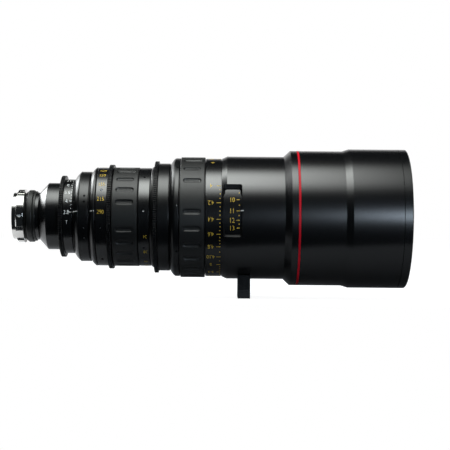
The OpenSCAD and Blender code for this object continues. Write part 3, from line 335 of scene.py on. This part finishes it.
def flat_text(words, height, narrow=0.8):
    curve = bpy.data.curves.new("words", "FONT")
    curve.body = words
    curve.size = height
    curve.extrude = paint_d
    curve.resolution_u = 3
    curve.align_x, curve.align_y = "CENTER", "CENTER"
    letters = bpy.data.objects.new("words", curve)
    bpy.context.collection.objects.link(letters)
    cut = bpy.data.meshes.new_from_object(letters.evaluated_get(bpy.context.evaluated_depsgraph_get()))
    flat = bmesh.new()
    flat.from_mesh(cut)
    bpy.data.objects.remove(letters)
    bpy.data.curves.remove(curve)
    bpy.data.meshes.remove(cut)
    ends = [vertex.co.y for vertex in flat.verts]
    scale = height / (max(ends) - min(ends))
    middle = (max(ends) + min(ends)) / 2
    for vertex in flat.verts:
        vertex.co.x *= scale * narrow
        vertex.co.y = (vertex.co.y - middle) * scale
    return flat


def flat_dot(radius):
    flat = bmesh.new()
    bmesh.ops.create_cone(flat, cap_ends=True, segments=16, radius1=radius, radius2=radius,
                          depth=2 * paint_d)
    return flat


stop_end, _, stop_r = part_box("stop_scale_ring")[1]
stop_number_x, stop_bar_x, stop_dot_x = stop_end - 0.0063, stop_end - 0.0018, stop_end - 0.0012
letter_x, letter_angle = stop_end - 0.0059, -9.2
stops = [("2.8", 6.0), ("4", 23.5), ("5.6", 39.1), ("8", 55.6), ("11", 71.6), ("16", 87.3), ("22", 102.0)]
stop_numbers = bmesh.new()
for words, angle in stops:
    wrap(flat_text(words, height=0.0046, narrow=0.85), stop_numbers, stop_r, stop_number_x, angle)
    wrap(flat_bar(length=0.0026, width=0.0009), stop_numbers, stop_r, stop_bar_x, angle)
wrap(flat_text("T", height=0.0042), stop_numbers, stop_r, letter_x, letter_angle)
for (_, first), (_, second) in zip(stops, stops[1:]):
    for third in (1 / 3, 2 / 3):
        wrap(flat_dot(radius=0.0005), stop_numbers, stop_r, stop_dot_x, first + (second - first) * third)
finish_piece("stop_numbers", stop_numbers, white_paint, "iris_ring")

# Middle shell. Aluminium, turned with two cones that swell a little, and anodised a softer black.
# The lines against which the stops and the zoom scale are read are cut in the cones and filled
# white, and small grub screws in the ring between them lock what is inside.
soft_black = turned_finish("soft_black_anodising", (0.0018, 0.002, 0.0024), rough=0.3, level=0.56, grain=0.3,
                           marks=0.15, edge=0.0012)
grub_steel = turned_finish("grub_steel", (0.5, 0.51, 0.52), rough=0.33, metal=1.0, grain=0.2, marks=0.0,
                           edge=0.00005)
# Near black painted for the shade inside holes that the solids lack and in the seam at the front rim
painted_shadow_black = turned_finish("seam_shadow_black", (0.001, 0.001, 0.001), rough=0.7, level=0.05, grain=0.2,
                           marks=0.0)
dress(soft_black, "centre_housing")


# Spins a closed outline once round an axis through the origin
def spin_outline(mesh, points, axis, steps):
    corners = [mesh.verts.new(point) for point in points]
    edges = [mesh.edges.new(pair) for pair in zip(corners, corners[1:] + corners[:1])]
    bmesh.ops.spin(mesh, geom=corners + edges, cent=(0, 0, 0), axis=axis, angle=2 * math.pi,
                   steps=steps, use_merge=True)


# Turns a closed profile of (x, radius) points round the lens's axis
def turned_ring(name, profile, material, body):
    sides = 160
    ring = bmesh.new()
    spin_outline(ring, [(x, -r, 0.0) for x, r in profile], axis=(1, 0, 0), steps=sides)
    finish_piece(name, ring, material, body)


# A skirt runs from one (x, radius) point to another and swells outwards between them, and the
# points of its root close it below
def skirt(name, first, last, swell, root):
    steps = 8
    (x_low, r_low), (x_high, r_high) = first, last
    length = math.hypot(x_high - x_low, r_high - r_low)
    out_x, out_r = -(r_high - r_low) / length, (x_high - x_low) / length
    profile = []
    for i in range(steps + 1):
        share = i / steps
        lift = swell * 4 * share * (1 - share)
        profile.append((x_low + (x_high - x_low) * share + out_x * lift,
                        r_low + (r_high - r_low) * share + out_r * lift))
    turned_ring(name, profile + root, soft_black, "barrel")


# A line painted on a skirt ends just behind the skirt's front
def skirt_line(marks, first, last, swell, length, width, angle):
    slope = (last[1] - first[1]) / (last[0] - first[0])
    x = last[0] - length / 2 - 0.0002
    radius = first[1] + (x - first[0]) * slope + swell * 1.6
    wrap(flat_bar(length, width), marks, radius, x, angle, slope=slope)


zoom_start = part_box("zoom_scale_ring")[0][0]
ring_start, ring_r = stop_end + 0.0078, 0.052
rim_start, rim_r = zoom_start - 0.0028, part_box("centre_housing")[1][2]
stop_skirt_start, stop_root_r, stop_swell = stop_end + 0.0008, stop_r + 0.0003, 0.0007
zoom_skirt_start, zoom_root_r, zoom_swell = zoom_start - 0.0079, ring_r - 0.0020, 0.0004
stop_skirt = (stop_skirt_start, stop_root_r + 0.0007), (ring_start, ring_r + 0.0002), stop_swell
zoom_skirt = (zoom_skirt_start, zoom_root_r + 0.0009), (rim_start, rim_r - 0.0001), zoom_swell
skirt_foot = 0.0013
skirt("stop_index_skirt", *stop_skirt,
      [(ring_start, ring_r - 0.0003), (stop_skirt_start + skirt_foot, stop_root_r),
       (stop_skirt_start, stop_root_r)])
skirt("zoom_index_skirt", *zoom_skirt,
      [(rim_start, rim_r - 0.0006), (zoom_skirt_start + skirt_foot, zoom_root_r),
       (zoom_skirt_start, zoom_root_r)])
index_angle, stop_index_angle = 6.1, 6.0
index_marks = bmesh.new()
skirt_line(index_marks, *stop_skirt, length=0.0066, width=0.0009, angle=stop_index_angle)
skirt_line(index_marks, *zoom_skirt, length=0.0030, width=0.0012, angle=index_angle)
wrap(flat_bar(length=0.0016, width=0.0012), index_marks, rim_r, rim_start + 0.0012, index_angle)


# A grub screw with a cone-shaped cup in its end, its top sunk under the surface of its ring. The
# outline is in shares of its size.
def grub_screw(screws, ring_radius, x, angle, size, sunk, cup=0.82):
    screw = bmesh.new()
    outline = [(1.0, -1.6), (1.0, -0.2), (0.92, 0.0), (cup, 0.0), (0.05, -0.65 * cup)]
    points = [(size * reach, 0.0, size * height - sunk) for reach, height in outline]
    spin_outline(screw, points, axis=(0, 0, 1), steps=24)
    bmesh.ops.translate(screw, verts=screw.verts, vec=(x, 0.0, ring_radius))
    bmesh.ops.rotate(screw, verts=screw.verts, cent=(0, 0, 0),
                     matrix=Matrix.Rotation(math.radians(90 - angle), 3, "X"))
    add_to(screws, screw)


# A small hole that the solid doesn't have is a disc painted near black for the shade inside it,
# with the ring of a screw's end on it or empty
def flush_hole(holes, screws, ring_radius, x, angle, size, filled):
    wrap(flat_dot(size), holes, ring_radius, x, angle)
    if filled:
        grub_screw(screws, ring_radius, x, angle, size * 0.6, sunk=-0.00007, cup=0.4)


def ring_of(count, start):
    return [start + i * 360 / count for i in range(count)]


ring_hole_x, ring_hole_size = ring_start + 0.0066, 0.0013
empty_angles, screw_angles = (26.4, 18.6, 151.9, 165.3), (-14.7, -28.1, 198.6, 206.4)
# The holes are discs painted near black for the shade inside them; screws sit in some
centre_screws, centre_holes = bmesh.new(), bmesh.new()
for angle in empty_angles + screw_angles:
    flush_hole(centre_holes, centre_screws, ring_r, ring_hole_x, angle, ring_hole_size,
               filled=angle in screw_angles)
finish_piece("centre_holes", centre_holes, painted_shadow_black, "barrel")
finish_piece("centre_screws", centre_screws, grub_steel, "barrel")

# Zoom ring. Anodised aluminium rings and a gear, held on a turning body by grub screws. The scale
# is filled yellow on the rear ring, and once more on the end ring, for a reader on the other side
# of the camera.
yellow_paint = turned_finish("yellow_paint", (0.68, 0.45, 0.04), rough=0.5, grain=0.8, marks=0.0, spread=0.1,
                             edge=0.00002)
dress(inner_black, "zoom_ring_body")
dress(satin_black, "zoom_scale_ring", "zoom_end_ring")
dress(gear_black, "zoom_gear")
focal = [("290", 5.0), ("215", 20.2), ("155", 39.5), ("120", 55.2), ("100", 66.4), ("75", 84.4),
         ("60", 98.4), ("50", 110.0), ("40", 124.6), ("35", 133.6), ("30", 144.0), ("24", 165.0)]
zoom_low, zoom_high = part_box("zoom_scale_ring")
zoom_r, zoom_x = zoom_high[2], (zoom_low[0] + zoom_high[0]) / 2
zoom_number_x = zoom_x - 0.0003
zoom_numbers = bmesh.new()
for words, angle in focal:
    wrap(flat_text(words, height=0.0047, narrow=0.8), zoom_numbers, zoom_r, zoom_number_x, angle)
finish_piece("zoom_numbers", zoom_numbers, yellow_paint, "zoom_ring")
end_low, end_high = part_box("zoom_end_ring")
end_r, end_x = end_high[2], (end_low[0] + end_high[0]) / 2
end_number_x, other_side, rear_only = end_x + 0.0017, 171.4, "35"
zoom_end_numbers = bmesh.new()
for words, angle in focal:
    if words != rear_only:
        wrap(flat_text(words, height=0.0040, narrow=0.78), zoom_end_numbers, end_r, end_number_x,
             angle + other_side, upside_down=True)
finish_piece("zoom_end_numbers", zoom_end_numbers, yellow_paint, "zoom_ring")
# Two holes that the solid lacks are discs painted near black for the shade inside them
zoom_screws, zoom_holes = bmesh.new(), bmesh.new()
for angle in ring_of(3, 31.4):
    grub_screw(zoom_screws, zoom_r, zoom_x, angle, size=0.00145, sunk=0.0005)
flush_hole(zoom_holes, zoom_screws, zoom_r, zoom_x, angle=-13.6, size=0.0016, filled=True)
flush_hole(zoom_holes, zoom_screws, zoom_r, zoom_x, angle=-58.6, size=0.0016, filled=False)
for angle in ring_of(4, 6.7):
    grub_screw(zoom_screws, end_r, end_x, angle, size=0.00115, sunk=0.0003)
finish_piece("zoom_holes", zoom_holes, painted_shadow_black, "zoom_ring")
finish_piece("zoom_screws", zoom_screws, grub_steel, "zoom_ring")

# Zoom drive. A bronze cam tube turns round three ground steel rods, steel pins on the cells follow
# its slots, and a steel key ties it to the zoom ring.
bronze = turned_finish("cam_bronze", (0.5, 0.36, 0.16), rough=0.3, metal=1.0, grain=0.2, marks=0.4)
rod_steel = turned_finish("ground_rod_steel", (0.55, 0.55, 0.56), rough=0.12, metal=1.0, grain=0.05,
                          marks=0.1)
dress(bronze, "zoom_cam_tube")
dress(rod_steel, "guide_rods", "compensator_followers", "variator_followers")
dress(screw_steel, "zoom_key")

# Grips. Rubber sleeves moulded with a ring of pockets and one bare place, and stretched over the
# zoom and focus rings. The floor of each pocket is dished.
rubber_black = (0.0086, 0.0089, 0.0084)
rubber = turned_finish("moulded_rubber", rubber_black, rough=0.45, level=0.52, grain=0.8, marks=0.0,
                       speck=900.0, edge=0.0011)
pocket_rubber = turned_finish("pocket_rubber", rubber_black, rough=0.45, level=0.6, grain=0.8, marks=0.0,
                              speck=900.0, edge=0.0002)
dress(rubber, "zoom_grip", "focus_grip")
pocket_places, pocket_length, pocket_width, pocket_depth = 23, 0.0206, 0.0062, 0.0015
pocket_clearance = 0.00003


# Joins closed loops of points, each to the next and the last to the first
def join_loops(mesh, loops):
    rims = []
    for loop in loops:
        corners = [mesh.verts.new(point) for point in loop]
        rims.append([mesh.edges.new(pair) for pair in zip(corners, corners[1:] + corners[:1])])
    for rim, following in zip(rims, rims[1:] + rims[:1]):
        bmesh.ops.bridge_loops(mesh, edges=rim + following)


def pill_loop(straight, reach, depth):
    per_end = 8
    loop = []
    for side, first in ((1, -90), (-1, 90)):
        for i in range(per_end + 1):
            turn = math.radians(first + 180 * i / per_end)
            loop.append((side * straight + reach * math.cos(turn), reach * math.sin(turn), -depth))
    return loop


# Each loop of a pocket's floor is a share of its width wide and a share of its depth deep
def dished_pockets(name, grip, bare_angle, body):
    low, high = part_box(grip)
    reach = pocket_width / 2 - pocket_clearance
    straight = (pocket_length - pocket_width) / 2
    shares = [(1.0, 0.97), (1.0, 0.02), (0.58, 0.78), (0.06, 0.82)]
    pockets = bmesh.new()
    for place in range(1, pocket_places):
        flat = bmesh.new()
        join_loops(flat, [pill_loop(straight, share * reach, depth_share * pocket_depth)
                          for share, depth_share in shares])
        wrap(flat, pockets, high[2], (low[0] + high[0]) / 2, bare_angle + place * 360 / pocket_places)
    finish_piece(name, pockets, pocket_rubber, body)


dished_pockets("zoom_grip_pockets", "zoom_grip", bare_angle=0.8, body="zoom_ring")
dished_pockets("focus_grip_pockets", "focus_grip", bare_angle=20.5, body="focus_ring")

# Focus sleeve. An aluminium tube that carries the focus ring, anodised black. Its flange shows
# behind the focus gear, with a face that swells a little.
dress(satin_black, "focus_sleeve")
sleeve_start, flange_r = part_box("focus_sleeve")[0][0], -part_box("focus_sleeve")[0][2]
face_start, face_end, face_swell = sleeve_start - 0.0001, sleeve_start + 0.0033, 0.0003
skirt("sleeve_flange_skirt", (face_start, flange_r - 0.0016), (face_end, flange_r + 0.0008), face_swell,
      [(face_end, flange_r - 0.0005), (face_start, flange_r - 0.0046)])

# Focus ring. A soft black aluminium body with a gear and a scale, whose grooves drive steel pins.
# Distances in feet and inches are filled yellow on the scale, upside down for the focus puller,
# and run on upright on the drum under the window.
dress(soft_black, "focus_ring_body")
dress(satin_black, "focus_scale_ring")
dress(gear_black, "focus_gear")
dress(rod_steel, "focus_followers")


# How many degrees above the index a distance in feet stands while the ring is at rest
def turn_of(feet):
    nearest, spread, offset = 1.003, 989.5, 98.98
    return spread / (feet - nearest) - offset


# A wide gap between two numbers gets three dots, a middling one gets one, and a narrow one none
def dot_shares(gap):
    if gap > 12:
        return [0.25, 0.5, 0.75]
    return [0.5] if gap > 5 else []


scale_low, scale_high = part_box("focus_scale_ring")
scale_start, scale_r = scale_low[0], scale_high[2]
near_feet, near_angle, infinity_angle = 4.0, 31.0, 66.3
shift = near_angle - turn_of(near_feet)
near_inches = [48, 50, 52, 54, 56, 58, 60, 63, 66, 69, 72, 78, 84, 90, 96, 108, 120, 132, 144, 180, 240,
               360, 600]
number_x, bar_x, dot_x, infinity_x = [scale_start + set_in for set_in in (0.0065, 0.0152, 0.0167, 0.0080)]
distance_numbers = bmesh.new()
for i, inches in enumerate(near_inches):
    whole, rest = inches // 12, inches % 12
    turn = turn_of(inches / 12)
    words = str(whole) if rest == 0 else f"{whole}.{rest}"
    wrap(flat_text(words, height=0.0050, narrow=0.78), distance_numbers, scale_r, number_x, turn + shift,
         upside_down=True)
    wrap(flat_bar(length=0.0048, width=0.0008), distance_numbers, scale_r, bar_x, turn + shift)
    if i + 1 < len(near_inches):
        later = turn_of(near_inches[i + 1] / 12)
        for share in dot_shares(abs(later - turn)):
            wrap(flat_dot(radius=0.0006), distance_numbers, scale_r, dot_x,
                 turn + (later - turn) * share + shift)
wrap(flat_text("\u221e", height=0.0034, narrow=0.5), distance_numbers, scale_r, infinity_x, infinity_angle,
     upside_down=True)
finish_piece("distance_numbers", distance_numbers, yellow_paint, "focus_ring")

drum_r, drum_feet = 0.06695, [4, 5, 6, 7, 8, 9, 10, 11, 12, 13, 15, 18, 22, 30, 50]
drum_number_x, drum_bar_x, drum_dot_x = [scale_start + set_in for set_in in (0.0301, 0.0370, 0.0382)]
drum_numbers = bmesh.new()
for feet in drum_feet:
    angle = turn_of(feet) + index_angle
    wrap(flat_text(str(feet), height=0.0054, narrow=0.8), drum_numbers, drum_r, drum_number_x, angle)
    wrap(flat_bar(length=0.0038, width=0.0009), drum_numbers, drum_r, drum_bar_x, angle)
    if feet + 1 in drum_feet:
        halfway = (turn_of(feet) + turn_of(feet + 1)) / 2 + index_angle
        wrap(flat_dot(radius=0.0006), drum_numbers, drum_r, drum_dot_x, halfway)
finish_piece("drum_numbers", drum_numbers, yellow_paint, "focus_ring")

rise_r, rise_hole_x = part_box("focus_ring_body")[1][2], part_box("focus_grip")[0][0] - 0.00295
# The holes are discs painted near black for the shade inside them; screws sit in every second one
rise_screws, rise_holes = bmesh.new(), bmesh.new()
for i, angle in enumerate(ring_of(8, 10.5)):
    flush_hole(rise_holes, rise_screws, rise_r, rise_hole_x, angle, size=0.0014, filled=i % 2 == 0)
finish_piece("rise_holes", rise_holes, painted_shadow_black, "focus_ring")
finish_piece("rise_screws", rise_screws, grub_steel, "focus_ring")

# Main barrel. An anodised aluminium tube on a foot that steel screws hold. A frame with sloping
# sides is pressed into its window, and the focus index, a short white line, runs from the frame's
# right side on to the barrel.
dress(satin_black, "main_barrel", "support_foot")
dress(screw_steel, "foot_screws")
barrel_low, barrel_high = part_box("main_barrel")
barrel_r = barrel_high[2]

# Half sizes run along the axis and round the barrel, and the frame's inner edge is measured from
# the middle of the window
window_x, window_angle = barrel_low[0] + 0.01245, 6.75
window_half, window_corner = (0.0106, 0.02965), 0.0024
inner_half, inner_mid, inner_corner = (0.0085, 0.0258), (0.0, -0.0013), 0.002
frame_top_r, frame_foot_r, frame_lip = barrel_r - 0.0001, drum_r + 0.0006, 0.0003


def rounded_loop(middle, half, corner):
    per_corner = 8
    loop = []
    for quarter, (side_x, side_y) in enumerate([(1, 1), (-1, 1), (-1, -1), (1, -1)]):
        for i in range(per_corner + 1):
            turn = math.radians(90 * (quarter + i / per_corner))
            loop.append((middle[0] + side_x * (half[0] - corner) + corner * math.cos(turn),
                         middle[1] + side_y * (half[1] - corner) + corner * math.sin(turn)))
    return loop


def in_window(place, radius):
    across = Vector((window_x + place[0], -math.sqrt(radius ** 2 - place[1] ** 2), place[1]))
    return Matrix.Rotation(-math.radians(window_angle), 3, "X") @ across


window_frame = bmesh.new()
outer = rounded_loop((0.0, 0.0), window_half, window_corner)
inner = rounded_loop(inner_mid, inner_half, inner_corner)
frame_loops = [(outer, frame_top_r), (outer, frame_foot_r), (inner, frame_foot_r),
               (inner, frame_foot_r + frame_lip)]
join_loops(window_frame, [[in_window(place, radius) for place in loop] for loop, radius in frame_loops])
frame_black = turned_finish("window_frame_black", (0.003, 0.003, 0.0032), rough=0.5, level=0.22, grain=0.4,
                            marks=0.1)
finish_piece("window_frame", window_frame, frame_black, "barrel")

focus_line_w, on_barrel, line_lift = 0.0013, 0.0016, 0.0001
right_side = window_half[0] - inner_half[0]
side_slope = (barrel_r - frame_foot_r) / right_side
wrap(flat_bar(right_side * 0.95, focus_line_w), index_marks, (barrel_r + frame_foot_r) / 2 + line_lift,
     window_x + (window_half[0] + inner_half[0]) / 2, index_angle, slope=side_slope)
wrap(flat_bar(on_barrel, focus_line_w), index_marks, barrel_r, window_x + window_half[0] + on_barrel / 2,
     index_angle)
finish_piece("index_marks", index_marks, white_paint, "barrel")

# Front housing. Aluminium, turned with a flare at its rear and anodised black. A thin ring anodised
# red is sprung into the groove in front of the flare.
red_anodising = turned_finish("red_anodising", (0.62, 0.004, 0.016), rough=0.42, level=0.2, grain=0.2,
                              marks=0.2, spread=0.05)
dress(satin_black, "front_housing")
dress(red_anodising, "accent_ring")

# Shade and front rim. Anodised aluminium tubes, the rim screwed into the mouth of the shade. A thin
# shadow line shows where the two meet.
dress(satin_black, "sun_shade", "front_rim")
rim_low, rim_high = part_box("front_rim")
# The seam is a thin ring painted near black for the shadow where the two meet
seam_half, seam_rise, seam_d = 0.0003, 0.00003, 0.0005
seam_start, seam_end, seam_r = rim_low[0] - seam_half, rim_low[0] + seam_half, rim_high[2] + seam_rise
turned_ring("rim_seam", [(seam_start, seam_r), (seam_end, seam_r), (seam_end, seam_r - seam_d),
                         (seam_start, seam_r - seam_d)], painted_shadow_black, "barrel")
